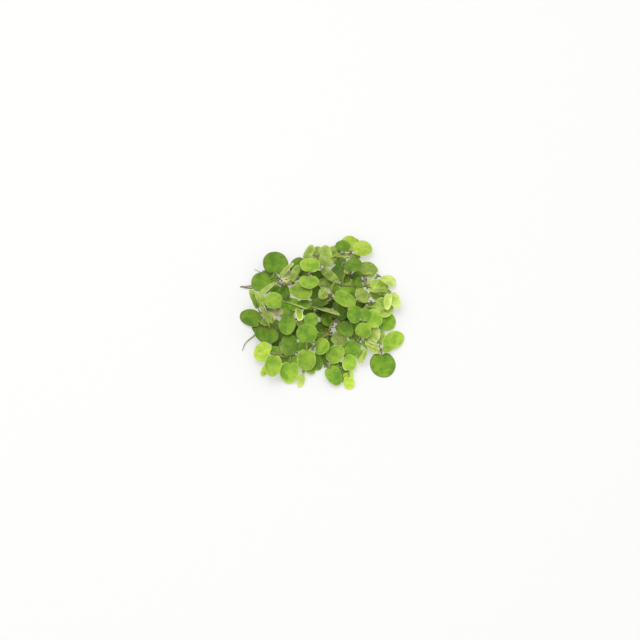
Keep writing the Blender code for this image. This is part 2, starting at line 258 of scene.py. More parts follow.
class Paint:
    """One material and the nodes that colour it."""

    def __init__(self, name, roughness):
        self.material = bpy.data.materials.new(name)
        self.material.use_nodes = True
        self.tree = self.material.node_tree
        self.shader = self.tree.nodes["Principled BSDF"]
        self.shader.inputs["Roughness"].default_value = roughness

    def node(self, kind, settings, inputs, output=0):
        """A new node's output, with its settings made and its sockets filled or linked."""
        made = self.tree.nodes.new(kind)
        for name, setting in settings.items():
            setattr(made, name, setting)
        for name, value in inputs.items():
            self.fill(made.inputs[name], value)
        return Value(self, made.outputs[output])

    def fill(self, socket, value):
        if isinstance(value, Value):
            self.tree.links.new(value.socket, socket)
        else:
            socket.default_value = value

    def mix(self, low, high, share):
        """The colour low where share is 0 and high where it is 1."""
        return self.node("ShaderNodeMix", {"data_type": "RGBA"}, {0: share, 6: low, 7: high}, 2)

    def step(self, value, low, high):
        """Rises smoothly from 0 to 1 as the value goes from low to high."""
        settings = {"interpolation_type": "SMOOTHSTEP"}
        return self.node("ShaderNodeMapRange", settings, {"Value": value, "From Min": low, "From Max": high})

    def noise(self, scale, detail=3.0):
        place = self.node("ShaderNodeTexCoord", {}, {}, "Object")
        return self.node("ShaderNodeTexNoise", {}, {"Vector": place, "Scale": scale, "Detail": detail}, "Fac")

    def bump(self, height, strength, distance):
        inputs = {"Height": height, "Strength": strength, "Distance": distance}
        self.fill(self.shader.inputs["Normal"], self.node("ShaderNodeBump", {}, inputs))


stem_paint = Paint("stem_skin", 0.6)
stem_mottle = stem_paint.step(stem_paint.noise(420.0), 0.42, 0.62)
stem_streak = stem_paint.noise(2400.0)
stem_colour = stem_paint.mix((0.27, 0.34, 0.06, 1), (0.21, 0.15, 0.05, 1), stem_mottle * 0.7 + stem_streak * 0.3)
stem_paint.fill(stem_paint.shader.inputs["Base Color"], stem_colour)
stem_paint.bump(stem_streak, 0.4, 0.0001)
fuzz_paint = Paint("stem_fuzz", 0.7)
fuzz_paint.shader.inputs["Base Color"].default_value = (0.25, 0.21, 0.08, 1.0)

stem_lines = {}
for node in sorted(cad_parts):
    if not node.startswith("stem_"):
        continue
    line = rod_line(node)
    chance = random.Random(node)
    start, deepest, end, depth = SAGS.get(node, (0, 1, 2, 0))
    shares = np.linspace(0, 1, len(line))
    drops = np.interp(shares, (start, deepest, end), (0, depth, 0))
    sunk = [place - np.array((0, 0, min(drop, place[2] - STEM_RADIUS))) for place, drop in zip(line, drops)]
    stem_lines[node] = sunk
    radii = [STEM_RADIUS * chance.uniform(0.9, 1.1) for _ in line]
    shape = tubes(node, [(sunk, radii)], 12)
    for face in add_fuzz(shape, sunk, STEM_RADIUS, 6.0, 0.55 * MM, chance):
        face.material_index = 1
    piece = add_piece(f"branch_{node[5:]}", shape, [stem_paint.material, fuzz_paint.material])
    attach(piece, "root")
    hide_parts(node)

# The leaves.
# Two floating leaves grow opposite each other from every joint of a stem, each on a short stalk:
# soft round blades with a heart-shaped base, a shallow midrib, a thin rim, and rows of short pale
# four-armed hairs on top. One piece for each pair, laid on the curved sheets of its solid.
STALK_LONG = 1.3 * MM
STALK_RADIUS = 0.36 * MM
JOINT_REACH = 0.9 * MM
STALK_REACH = 1.6 * MM
STEM_DROP = 1.35 * MM
BLADE_THICK = 0.4 * MM
RIM_THIN = 0.7
MIDRIB_DEPTH = 0.09 * MM
MIDRIB_HALF = 0.3 * MM
BLADE_STEPS = 22
TIP_MORE = 1.045
SIDE_MORE = 1.01
NOTCH = 0.2
LOBES = 0.05
ROW_APART = 0.95 * MM
HAIR_APART = 0.8 * MM
HAIR_HEIGHT = 0.3 * MM


class Blade:
    """Where one leaf lies: its joint, its directions, its size and how its sheet bends."""

    def __init__(self, joint, along, up, long, half, bend):
        self.joint = joint
        self.up = up
        along = along - up * (along @ up)
        self.along = along / np.linalg.norm(along)
        self.right = np.cross(self.along, self.up)
        self.long = long
        self.half = half
        self.bend = bend

    def at(self, a, c, lift=0.0):
        """The point this far along and across the leaf, at this height over its middle layer."""
        height = self.bend @ (1.0, a, c, a * a, a * c, c * c)
        normal = self.normal(a, c)
        return self.joint + self.along * a + self.right * c + self.up * height + normal * lift

    def normal(self, a, c):
        slope_along = self.bend[1] + 2 * self.bend[3] * a + self.bend[4] * c
        slope_right = self.bend[2] + self.bend[4] * a + 2 * self.bend[5] * c
        normal = self.up - self.along * slope_along - self.right * slope_right
        return normal / np.linalg.norm(normal)


def blade_on(joint, points):
    """The blade whose solid has these points."""
    middle = points.mean(axis=0)
    turns = np.linalg.svd(points - middle)[2]
    blade = Blade(joint, middle - joint, turns[2] * np.sign(turns[2][2]), 0, 0, None)
    a, c, height = ((points - joint) @ axis for axis in (blade.along, blade.right, blade.up))
    blade.long = STALK_LONG + (a.max() - STALK_LONG) * TIP_MORE
    blade.half = np.abs(c).max() * SIDE_MORE
    terms = np.stack((np.ones_like(a), a, c, a * a, a * c, c * c), axis=1)
    blade.bend = np.linalg.lstsq(terms, height, rcond=None)[0]
    return blade


def read_pair(node):
    """The joint of a pair of leaves, and its two blades, the one further left first."""
    shape = solid_shape(node)
    places = np.array([vert.co for vert in shape.verts])
    crowding = [np.sum(np.linalg.norm(places - place, axis=1) < JOINT_REACH) for place in places]
    joint = places[np.argmax(crowding)]
    for _ in range(6):
        joint = places[np.linalg.norm(places - joint, axis=1) < JOINT_REACH].mean(axis=0)
    centre = Vector(joint)
    outer = [vert for vert in shape.verts if (vert.co - centre).length > STALK_REACH]
    kept = set(outer)
    groups = islands(outer, lambda edge: edge.verts[0] in kept and edge.verts[1] in kept)
    blades = [blade_on(joint, np.array([vert.co for vert in group])) for group in groups]
    shape.free()
    return joint, sorted(blades, key=lambda blade: (blade.joint + blade.along * blade.long)[0])


def outline(turn):
    """How far the rim is from the blade's middle, by the turn from its base, for a radius of 1."""
    notch = NOTCH * math.exp(-((turn / 0.24) ** 2))
    lobes = LOBES * math.exp(-(((abs(turn) - 0.62) / 0.36) ** 2))
    return 1.0 - notch + lobes


def add_blade(shape, blade, bright, taper, layers, chance):
    """One blade: a fine sheet in the leaf's outline, pulled out to its thickness."""
    marks, vary = layers
    grid = bmesh.ops.create_grid(shape, x_segments=BLADE_STEPS, y_segments=BLADE_STEPS, size=1.0)
    sheet = grid["verts"]
    for vert in sheet:
        x, y, _ = vert.co
        vert[marks] = Vector((x * math.sqrt(1 - y * y / 2), y * math.sqrt(1 - x * x / 2), -1.0))
    faces = list({face for vert in sheet for face in vert.link_faces})
    pulled = bmesh.ops.extrude_face_region(shape, geom=faces)["geom"]
    upper = [part for part in pulled if isinstance(part, bmesh.types.BMVert)]
    for vert in upper:
        vert[marks].z = 1.0
    middle = (STALK_LONG + blade.long) / 2
    half_long = (blade.long - STALK_LONG) / 2
    waves = [(order, chance.uniform(0, math.tau)) for order in (2, 3, 5)]
    # The look holds the leaf's brightness, which is partly its own tone and partly painted light and shade, and the
    # direction of the painted shade across it.
    look = Vector((bright, chance.random(), chance.uniform(-1.0, 1.0)))
    for vert in [*sheet, *upper]:
        across, along, side = vert[marks]
        radius = math.hypot(across, along)
        turn = math.atan2(across, -along)
        reach = outline(turn) - 1.0
        for order, phase in waves:
            reach += 0.035 / order * math.sin(order * turn + phase)
        stretch = 1.0 + reach * radius**2
        a = middle + half_long * along * stretch
        c = blade.half * across * stretch * (1 - taper * along)
        thick = BLADE_THICK * (1 - RIM_THIN * radius**4)
        crease = MIDRIB_DEPTH * math.exp(-((c / MIDRIB_HALF) ** 2)) * (1 - radius**3)
        ruffle = 0.05 * MM * radius**3 * math.sin(7 * turn + waves[0][1])
        lift = side * thick / 2 - crease + ruffle
        vert.co = blade.at(a, c, lift)
        vert[vary] = look
    return [*sheet, *upper]


def make_hair():
    """One leaf hair: a short foot with four thin arms that spread and stay apart."""
    shape = bmesh.new()
    foot = Matrix.Translation((0, 0, 0.3))
    bmesh.ops.create_cone(shape, segments=4, radius1=0.16, radius2=0.1, depth=0.7, matrix=foot)
    for quarter in range(4):
        lean = Matrix.Rotation(math.radians(90 * quarter), 4, "Z") @ Matrix.Rotation(math.radians(48), 4, "Y")
        arm = Matrix.Translation((0, 0, 0.6)) @ lean @ Matrix.Translation((0, 0, 0.5))
        bmesh.ops.create_cone(shape, segments=3, radius1=0.1, radius2=0.02, depth=1.05, matrix=arm)
    mesh = bpy.data.meshes.new("hair")
    shape.to_mesh(mesh)
    shape.free()
    return mesh


def add_copy(shape, mesh, place):
    """The mesh once more in the shape, at that place. Gives its faces."""
    faces_before = len(shape.faces)
    verts_before = len(shape.verts)
    shape.from_mesh(mesh)
    shape.verts.ensure_lookup_table()
    shape.faces.ensure_lookup_table()
    bmesh.ops.transform(shape, matrix=place, verts=shape.verts[verts_before:])
    return shape.faces[faces_before:]


def facing(point, normal, size, spin):
    """A place at the point, with its Z along the normal."""
    turn = Vector(normal).to_track_quat("Z", "Y").to_matrix().to_4x4()
    return Matrix.Translation(point) @ turn @ Matrix.Rotation(spin, 4, "Z") @ Matrix.Scale(size, 4)


def add_hairs(shape, blade, density, tall, chance, hair):
    """Rows of hairs that run from the midrib out and towards the tip."""
    half_long = (blade.long - STALK_LONG) / 2
    middle = (STALK_LONG + blade.long) / 2
    faces = []
    for side in (-1, 1):
        rows = int(2.2 * half_long / (ROW_APART / density))
        for row in range(rows):
            start = STALK_LONG - blade.half * 0.4 + row * ROW_APART / density
            steps = int(blade.half / (HAIR_APART / density))
            for step in range(steps):
                out = (0.45 * MM + step * HAIR_APART / density) * 0.86
                a = start + out * 0.62 + chance.uniform(-0.1, 0.1) * MM
                c = side * out + chance.uniform(-0.1, 0.1) * MM
                if math.hypot((a - middle) / half_long, c / blade.half) > 0.93:
                    continue
                if chance.random() < 0.12:
                    continue
                point = blade.at(a, c, BLADE_THICK * 0.42)
                size = HAIR_HEIGHT * tall * chance.uniform(0.7, 1.15)
                place = facing(point, blade.normal(a, c), size, chance.uniform(0, math.tau))
                faces += add_copy(shape, hair, place)
    return faces


def add_stalk(shape, joint, blade):
    """The short stalk from the joint to the notch of the blade."""
    start = Vector(joint)
    end = Vector(blade.at(STALK_LONG + 0.28 * (blade.long - STALK_LONG) / 2, 0.0, -0.06 * MM))
    line = end - start
    turn = line.to_track_quat("Z", "Y").to_matrix().to_4x4()
    place = Matrix.Translation((start + end) / 2) @ turn
    made = bmesh.ops.create_cone(shape, segments=10, radius1=STALK_RADIUS, radius2=STALK_RADIUS * 0.45,
                                 depth=line.length, cap_ends=True, matrix=place)
    return {face for vert in made["verts"] for face in vert.link_faces}


def add_knob(shape, joint):
    """The swollen joint, which reaches down to the stem that it grows from."""
    middle = Vector(joint) - Vector((0, 0, STEM_DROP / 2))
    place = Matrix.Translation(middle) @ Matrix.Diagonal((0.52 * MM, 0.52 * MM, STEM_DROP * 0.72, 1.0))
    made = bmesh.ops.create_uvsphere(shape, u_segments=12, v_segments=9, radius=1.0, matrix=place)
    return {face for vert in made["verts"] for face in vert.link_faces}


def leaf_paint(name, blade, light, rim, under, dots=0.25, brown=0.0, rim_start=0.92):
    """The skin of a leaf: mottled, dotted in slanting rows, with a midrib and a thin rim, and with painted shade that
    makes it darker towards one side.
    """
    paint = Paint(name, 0.6)
    marks = paint.node("ShaderNodeAttribute", {"attribute_name": "marks"}, {}, "Vector")
    across, along, side = (paint.node("ShaderNodeSeparateXYZ", {}, {0: marks}, axis) for axis in "XYZ")
    vary = paint.node("ShaderNodeAttribute", {"attribute_name": "vary"}, {}, "Vector")
    bright, chance, lean = (paint.node("ShaderNodeSeparateXYZ", {}, {0: vary}, axis) for axis in "XYZ")
    out = paint.node("ShaderNodeMath", {"operation": "ABSOLUTE"}, {0: across})
    radius = (across * across + along * along) ** 0.5
    cloud = paint.noise(300.0)
    patch = paint.noise(900.0, 2.0)
    grain = paint.noise(2600.0, 2.0)
    rows = paint.node("ShaderNodeMath", {"operation": "SINE"}, {0: (along - out * 0.62) * 28.0})
    place = paint.node("ShaderNodeTexCoord", {}, {}, "Object")
    cell = paint.node("ShaderNodeTexVoronoi", {}, {"Vector": place, "Scale": 1200.0}, "Distance")
    spots = 1 - paint.step(cell, 0.12, 0.45)
    midrib = 1 - paint.step(out, 0.0, 0.07)
    # Painted shade: each leaf grows lighter towards one side and darker towards the other, in a direction set per
    # leaf, as if light fell across its cup. This is mixed in with the leaf's own mottle.
    painted_shade_slope = across * lean + along * (chance - 0.4)
    mottle_and_painted_shade = paint.step(cloud + painted_shade_slope * 0.16 + radius * 0.06, 0.34, 0.72)
    skin = paint.mix((*blade, 1), (*light, 1), mottle_and_painted_shade * 0.8 + patch * 0.5 + grain * 0.2 - 0.25)
    speck = [min(1.0, share * 1.3 + 0.02) for share in light]
    skin = paint.mix(skin, (*speck, 1), spots * (rows * 0.25 + 0.75) * dots)
    skin = paint.mix(skin, (*light, 1), midrib * 0.35)
    edge = paint.step(radius + (grain + patch - 1.0) * 0.07, rim_start, rim_start + 0.05)
    skin = paint.mix(skin, (*rim, 1), edge * 0.9)
    if brown:
        worn = paint.step(paint.noise(800.0, 4.0), 0.6, 0.7)
        skin = paint.mix(skin, (0.20, 0.16, 0.035, 1), worn * brown)
    skin = paint.mix((*under, 1), skin, paint.step(side, -0.6, 0.4))
    # Painted light and shade: the whole skin is scaled by the leaf's brightness, which darkens leaves that lie in
    # shadow and brightens ones that should look more lit, besides giving each its own tone.
    skin = paint.node("ShaderNodeVectorMath", {"operation": "SCALE"}, {0: skin, "Scale": bright})
    paint.fill(paint.shader.inputs["Base Color"], skin)
    paint.bump(rows * 0.4 + grain + patch + spots * 0.8 - midrib * 0.8, 0.5, 0.00012)
    paint.shader.inputs["Specular IOR Level"].default_value = 0.25
    paint.shader.inputs["Subsurface Weight"].default_value = 0.2
    paint.shader.inputs["Subsurface Radius"].default_value = (0.6, 1.0, 0.1)
    paint.shader.inputs["Subsurface Scale"].default_value = 0.0008
    return paint.material


LEAF_PAINTS = {
    "old": leaf_paint("leaf_old", (0.075, 0.195, 0.008), (0.19, 0.335, 0.014), (0.18, 0.18, 0.06),
                      (0.14, 0.24, 0.03), 0.2, 0.35, 0.91),
    "green": leaf_paint("leaf_green", (0.095, 0.25, 0.010), (0.26, 0.45, 0.026), (0.30, 0.42, 0.08),
                        (0.20, 0.31, 0.03), 0.35),
    "fresh": leaf_paint("leaf_fresh", (0.165, 0.345, 0.014), (0.37, 0.55, 0.045), (0.43, 0.58, 0.11),
                        (0.28, 0.41, 0.04), 0.25, 0.0, 0.9),
    "lime": leaf_paint("leaf_lime", (0.31, 0.49, 0.024), (0.55, 0.71, 0.085), (0.52, 0.64, 0.16),
                       (0.40, 0.52, 0.06), 0.25, 0.0, 0.92),
    "velvet": leaf_paint("leaf_velvet", (0.145, 0.26, 0.015), (0.42, 0.54, 0.10), (0.40, 0.49, 0.13),
                         (0.28, 0.36, 0.06), 0.8),
    # The shade tone is painted shade: a darkened green for leaves that lie in shadow under the others.
    "shade": leaf_paint("leaf_shade", (0.06, 0.15, 0.006), (0.17, 0.30, 0.018), (0.19, 0.23, 0.05),
                        (0.13, 0.2, 0.02), 0.25, 0.3),
    "pale": leaf_paint("leaf_pale", (0.29, 0.41, 0.045), (0.53, 0.64, 0.17), (0.58, 0.64, 0.27),
                       (0.40, 0.48, 0.12), 0.5),
    "withered": leaf_paint("leaf_withered", (0.23, 0.27, 0.08), (0.45, 0.47, 0.22), (0.26, 0.20, 0.08),
                           (0.34, 0.34, 0.16), 0.3, 0.7),
    "young": leaf_paint("leaf_young", (0.28, 0.44, 0.03), (0.42, 0.56, 0.10), (0.74, 0.82, 0.24),
                        (0.46, 0.56, 0.12), 0.2, 0.0, 0.72),
}
HAIR_LOOKS = {"old": (0.8, 0.9), "green": (1.0, 1.0), "fresh": (1.05, 1.0), "lime": (1.0, 0.9), "velvet": (1.2, 1.4),
              "shade": (0.8, 0.9), "pale": (0.9, 1.0), "withered": (0.6, 0.8), "young": (1.0, 0.8)}

hair_paint = Paint("leaf_hair", 0.6)
hair_paint.shader.inputs["Base Color"].default_value = (0.54, 0.63, 0.27, 1.0)
hair_paint.shader.inputs["Specular IOR Level"].default_value = 0.2
stalk_paint = Paint("leaf_stalk", 0.6)
stalk_skin = stalk_paint.mix((0.30, 0.36, 0.10, 1), (0.28, 0.20, 0.09, 1), stalk_paint.step(stalk_paint.noise(1500.0), 0.45, 0.65))
stalk_paint.fill(stalk_paint.shader.inputs["Base Color"], stalk_skin)

# Each pair's two leaves, the one that lies further left first: its tone, how bright it is and, for some, how wide and
# how long it is beside its solid and how much it narrows to its tip. How bright it is is partly the leaf's own colour
# and partly painted light and shade: darkened for leaves that lie in shadow, brightened for leaves that should look
# more lit.
PAIR_LOOKS = {
    "main_1": (("old", 1.0), ("shade", 1.0)),
    "main_2": (("pale", 0.9), ("shade", 1.0)),
    "main_3": (("shade", 1.2), ("shade", 1.1)),
    "main_4": (("green", 0.97, 1.15), ("fresh", 1.14, 1.1)),
    "main_5": (("green", 0.9), ("green", 1.15, 0.92, 0.95)),
    "left_1": (("shade", 0.95), ("shade", 1.1)),
    "left_2": (("old", 0.98, 0.95, 1.04), ("old", 0.95)),
    "back_left_1": (("green", 1.3), ("pale", 0.85)),
    "back_left_2": (("pale", 0.92), ("pale", 0.95)),
    "back_left_3": (("old", 1.07), ("old", 1.02, 1.0, 1.03, 0.12)),
    "right_front_1": (("green", 1.08), ("fresh", 0.9)),
    "right_front_2": (("pale", 1.15), ("pale", 1.2)),
    "right_front_3": (("old", 1.27, 0.97, 0.96), ("fresh", 1.15, 0.9, 1.02)),
    "front_1": (("shade", 1.3), ("velvet", 0.8)),
    "front_2": (("green", 1.05, 0.95, 0.9, 0.08), ("fresh", 0.92)),
    "front_3": (("lime", 1.2), ("fresh", 1.25, 1.0, 1.03, 0.1)),
    "inner_front_1": (("shade", 1.3), ("fresh", 0.98)),
    "inner_front_2": (("pale", 1.3, 0.8), ("fresh", 0.95, 0.74)),
    "left_front_1": (("green", 0.75), ("fresh", 1.12)),
    "left_front_2": (("lime", 1.02), ("fresh", 1.0)),
    "inner_left_1": (("green", 0.95), ("green", 1.45)),
    "inner_left_2": (("velvet", 1.3), ("velvet", 0.85)),
    "inner_left_3": (("velvet", 1.5), ("withered", 1.35)),
    "middle_1": (("young", 1.25, 0.75, 1.12), ("green", 1.0, 1.15)),
    "middle_2": (("fresh", 0.88), ("green", 0.95, 0.93, 1.1)),
    "back_1": (("velvet", 0.9), ("fresh", 1.05)),
    "back_2": (("old", 0.72), ("old", 0.95, 0.85, 0.95)),
    "back_3": (("velvet", 1.1), ("lime", 0.93, 1.05, 1.06)),
    "back_4": (("old", 1.08, 0.82), ("lime", 0.9, 0.98)),
    "back_right_1": (("shade", 1.05), ("velvet", 1.55)),
    "back_right_2": (("velvet", 1.12), ("pale", 1.22, 1.3)),
    "crown_1": (("velvet", 0.95, 0.62), ("fresh", 0.83, 0.9)),
    "crown_2": (("fresh", 0.95), ("fresh", 1.04)),
    "crown_3": (("velvet", 1.0), ("velvet", 0.83, 0.66)),
    "crown_4": (("velvet", 1.15, 1.3), ("velvet", 1.15, 1.2)),
    "crest_1": (("shade", 1.25), ("pale", 0.85)),
    "crest_2": (("fresh", 0.93), ("pale", 1.05, 0.5)),
    "right_1": (("velvet", 1.0, 1.1), ("fresh", 0.92, 0.86)),
    "right_2": (("velvet", 0.93, 0.86, 1.05), ("velvet", 1.32)),
    "right_3": (("velvet", 1.15), ("pale", 1.3, 0.62)),
}
SHAPE_ALIKE = (1, 1, 0)


def grow_leaf(shape, blade, look, number, layers, chance, hair):
    """One leaf in the shape: its blade in the material of that number, its hairs and its stalk."""
    tone, bright, wide, long, taper = (*look, *SHAPE_ALIKE[len(look) - 2:])
    blade.half *= wide
    blade.long = STALK_LONG + (blade.long - STALK_LONG) * long
    verts = add_blade(shape, blade, bright, taper, layers, chance)
    for face in {face for vert in verts for face in vert.link_faces}:
        face.material_index = number
    for face in add_hairs(shape, blade, *HAIR_LOOKS[tone], chance, hair):
        face.material_index = 2
    for face in add_stalk(shape, blade.joint, blade):
        face.material_index = 3


def leaf_layers(shape):
    """The two layers of the shape's points that the leaf skins are painted by."""
    return [shape.verts.layers.float_vector.new(name) for name in ("marks", "vary")]


hair = make_hair()
joints = []
for pair, looks in PAIR_LOOKS.items():
    joint, blades = read_pair(f"leaves_{pair}")
    joints.append(joint)
    chance = random.Random(pair)
    shape = bmesh.new()
    layers = leaf_layers(shape)
    for number, (blade, look) in enumerate(zip(blades, looks)):
        grow_leaf(shape, blade, look, number, layers, chance, hair)
    for face in add_knob(shape, joint):
        face.material_index = 3
    skins = [LEAF_PAINTS[tone] for tone, *_ in looks]
    piece = add_piece(f"leafpair_{pair}", shape, [*skins, hair_paint.material, stalk_paint.material])
    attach(piece, "root")
    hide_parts(f"leaves_{pair}")

# The low leaves.
# Under and between the leaves of the pairs the clump is packed with more leaves, some of them withered, on short side
# twigs. Many are painted darker than their own green, as painted shade for the shadow that fills the clump under its
# upper leaves. Each is its own mesh, named for the leaf pair that it lies by and placed as seen from the view: how far
# right and up its stalk end and its tip show and how high they lie, all in millimetres.
LOW_LEAVES = {
    "by_main_1": ((-14.4, 18.2, 3.0), (-10.7, 28.4, 4.2), 3.5, 0, ("old", 0.95)),
    "by_crown_2": ((-6.4, 18.2, 1.5), (0.1, 20.2, 2.0), 2.6, 0, ("shade", 0.8)),
    "by_back_4": ((15.1, 29.9, 1.0), (7.6, 28.4, 1.0), 1.6, 0, ("pale", 1.0)),
    "by_back_2": ((10.1, 24.7, 3.4), (14.6, 19.7, 3.4), 2.4, 10, ("pale", 0.85)),
    "by_back_2_b": ((8.6, 21.2, 3.0), (13.6, 16.2, 2.5), 2.9, 0, ("shade", 0.9)),
    "by_right_3": ((23.6, 12.2, 0.5), (30.6, 6.7, 0.5), 3.0, 0, ("velvet", 1.1)),
    "by_main_4": ((23.6, 5.2, 4.0), (20.6, -4.3, 5.0), 2.3, 0, ("green", 0.95)),
    "by_back_left_1": ((-18.9, 15.2, 2.5), (-17.9, 6.2, 2.0), 2.4, 0, ("shade", 1.05)),
    "by_back_left_2": ((-21.4, 15.2, 5.0), (-27.9, 9.7, 5.5), 0.9, 35, ("lime", 0.8)),
    "by_inner_left_3": ((-25.9, -6.8, 7.0), (-31.7, 5.2, 10.0), 1.5, 50, ("velvet", 1.15)),
    "by_left_front_2": ((-24.9, -23.3, 4.0), (-29.9, -30.8, 1.0), 1.9, -30, ("lime", 1.1)),
    "by_left_front_1": ((-20.9, -14.3, 2.0), (-17.4, -20.3, 1.5), 1.7, 0, ("withered", 1.6)),
    "by_left_front_1_b": ((-12.4, -19.3, 0.6), (-20.4, -23.8, 0.6), 3.3, 0, ("shade", 1.1)),
    "by_middle_2": ((-3.4, -14.3, 2.0), (-13.4, -17.8, 2.5), 3.0, 0, ("green", 0.95)),
    "by_main_3": ((5.1, -10.3, 2.0), (-3.4, -5.3, 1.5), 3.2, 0, ("shade", 1.1)),
    "by_main_2": ((4.6, 6.7, 8.6), (-8.4, 2.2, 7.6), 2.8, 10, ("shade", 0.75)),
    "by_right_1": ((6.6, 1.7, 1.0), (0.1, 7.7, 0.5), 4.0, 0, ("shade", 0.5)),
    "by_right_1_b": ((6.6, -4.3, 2.5), (12.6, 2.2, 3.0), 3.2, 0, ("shade", 0.85)),
    "by_main_3_b": ((7.6, -3.8, 5.0), (14.6, -11.3, 4.0), 3.5, 0, ("shade", 1.1)),
    "by_right_front_2": ((21.1, -12.3, 3.0), (28.1, -19.8, 1.5), 2.6, 0, ("pale", 1.15)),
    "by_right_front_1": ((12.6, -8.8, 2.5), (19.1, -13.8, 1.0), 3.0, 0, ("shade", 1.1)),
    "by_front_3": ((6.6, -23.8, 1.0), (12.6, -30.3, 1.0), 2.6, 0, ("shade", 1.0)),
    "by_inner_left_1": ((-12.4, -7.8, 1.5), (-19.4, -2.8, 1.5), 3.0, 0, ("shade", 0.95)),
    "by_left_1": ((-14.9, -4.8, 2.0), (-11.9, -12.8, 1.5), 2.7, 0, ("shade", 0.85)),
    "by_crest_1": ((6.1, -1.8, 3.0), (-3.4, 1.2, 4.0), 3.2, 0, ("shade", 0.85)),
    "by_front_1": ((5.1, -9.3, 0.5), (2.6, -17.8, 2.0), 2.8, 0, ("shade", 1.2)),
    "by_right_front_2_b": ((28.6, -16.8, 0.8), (29.8, -8.8, 0.5), 2.2, 0, ("pale", 1.1)),
    "by_crest_2": ((-16.4, -4.3, 3.2), (-18.4, 2.2, 3.6), 3.6, 0, ("green", 0.95)),
    "by_back_right_1": ((22.6, 12.2, 0.5), (23.8, 17.2, 2.0), 2.3, 0, ("withered", 1.9)),
    "by_inner_left_2": ((-31.9, -3.8, 3.0), (-25.4, -5.3, 3.0), 2.0, 0, ("velvet", 0.95)),
    "by_right_2": ((15.1, 6.2, 2.0), (21.6, 3.2, 1.0), 2.4, 0, ("shade", 1.3)),
    "by_back_2_c": ((14.1, 15.7, 1.0), (20.1, 20.7, 2.5), 2.6, 0, ("green", 0.8)),
    "by_back_2_d": ((9.6, 21.7, 2.5), (9.6, 28.4, 2.5), 3.0, 0, ("old", 0.85)),
    "by_right_3_b": ((33.8, 11.2, 5.2), (32.3, 1.7, 6.0), 2.1, 0, ("pale", 1.35)),
    "by_crown_4": ((-1.4, 22.7, 0.5), (-2.2, 34.2, 0.5), 2.8, 0, ("velvet", 1.05)),
    "by_back_left_3": ((-21.4, 15.2, 1.0), (-30.2, 21.2, 0.5), 3.2, 0, ("old", 1.05)),
    "by_back_left_1_b": ((-19.4, 14.2, 5.0), (-15.4, 21.2, 5.0), 2.2, 0, ("withered", 2.0)),
    "by_crest_2_b": ((-28.2, 3.7, 4.0), (-19.2, -0.3, 4.0), 3.0, 0, ("withered", 1.15)),
    "by_inner_left_2_b": ((-19.4, -8.8, 1.0), (-26.9, -3.8, 1.5), 3.2, 0, ("velvet", 0.85)),
    "by_main_4_b": ((10.6, -6.8, 1.0), (13.6, -0.1, 0.5), 2.3, 0, ("shade", 0.8)),
    "by_right_2_b": ((13.6, 4.7, 2.6), (16.8, 11.9, 2.4), 2.4, 0, ("shade", 1.15)),
    "by_inner_front_1": ((1.3, -26.8, 0.5), (0.8, -17.8, 1.5), 2.5, 0, ("green", 0.85)),
    "by_crest_1_b": ((-2.4, 1.2, 5.5), (-9.4, 0.2, 4.5), 2.4, 0, ("shade", 1.1)),
    "by_back_1": ((8.6, 9.2, 3.0), (4.8, 14.4, 4.5), 2.6, 0, ("green", 0.95)),
    "by_middle_2_b": ((-11.4, -20.8, 2.0), (-16.2, -25.8, 1.5), 2.4, 0, ("green", 0.95)),
    "by_front_3_b": ((13.6, -33.8, 1.0), (12.3, -28.6, 1.0), 2.7, 0, ("lime", 1.1)),
    "by_right_front_3": ((28.8, -19.3, 2.0), (34.8, -16.3, 2.0), 2.2, 0, ("fresh", 0.95)),
    "by_crown_3": ((-2.4, 15.7, 1.5), (1.8, 19.9, 1.0), 2.3, 0, ("shade", 1.1)),
    "by_crest_1_c": ((8.6, -4.8, 0.5), (4.8, 1.4, 2.5), 3.0, 0, ("shade", 0.85)),
    "by_left_2": ((-26.4, -10.3, 1.0), (-34.2, -5.8, 0.5), 3.6, 0, ("old", 0.95)),
    "by_left_front_2_b": ((-19.4, -21.8, 1.6), (-25.7, -17.1, 2.0), 2.8, 0, ("green", 1.1)),
    "by_crest_2_c": ((-17.9, 0.2, 1.5), (-22.4, 4.9, 1.5), 2.6, 0, ("shade", 1.15)),
    "by_middle_1": ((-5.4, -6.8, 4.5), (-12.7, -4.1, 5.0), 2.8, 0, ("shade", 1.15)),
    "by_right_2_c": ((21.6, 3.2, 1.5), (27.3, 3.2, 1.5), 2.2, 0, ("green", 0.95)),
    "by_right_front_2_c": ((19.1, -12.8, 1.0), (24.6, -16.8, 1.5), 2.6, 0, ("green", 1.1)),
    "by_front_2": ((10.1, -26.8, 2.0), (3.3, -26.3, 1.0), 2.2, 0, ("green", 0.95)),
    "by_middle_2_c": ((-7.9, -22.3, 2.5), (-7.9, -28.3, 2.0), 3.0, 0, ("fresh", 0.9)),
    "by_back_2_e": ((11.1, 19.2, 4.5), (13.6, 22.7, 5.5), 1.6, 0, ("pale", 1.3)),
    "by_front_2_b": ((10.6, -26.3, 0.8), (9.8, -34.1, 0.6), 2.1, 0, ("lime", 0.8)),
    "by_back_3": ((15.1, 32.2, 2.0), (17.3, 38.4, 2.0), 2.5, 0, ("lime", 0.85)),
    "by_back_3_b": ((10.6, 30.7, 2.0), (4.6, 25.2, 1.5), 2.2, 0, ("velvet", 1.1)),
    "by_back_4_b": ((12.6, 28.2, 1.2), (19.6, 28.7, 1.2), 2.0, 0, ("velvet", 1.0)),
}
TWIG_RADIUS = 0.3 * MM


def seen_at(right, up, height):
    """The place in the clump that shows this far right and up and lies at this height."""
    away = (up - height * math.cos(VIEW_ELEVATION)) / math.sin(VIEW_ELEVATION)
    return np.array((right, away, height)) * MM


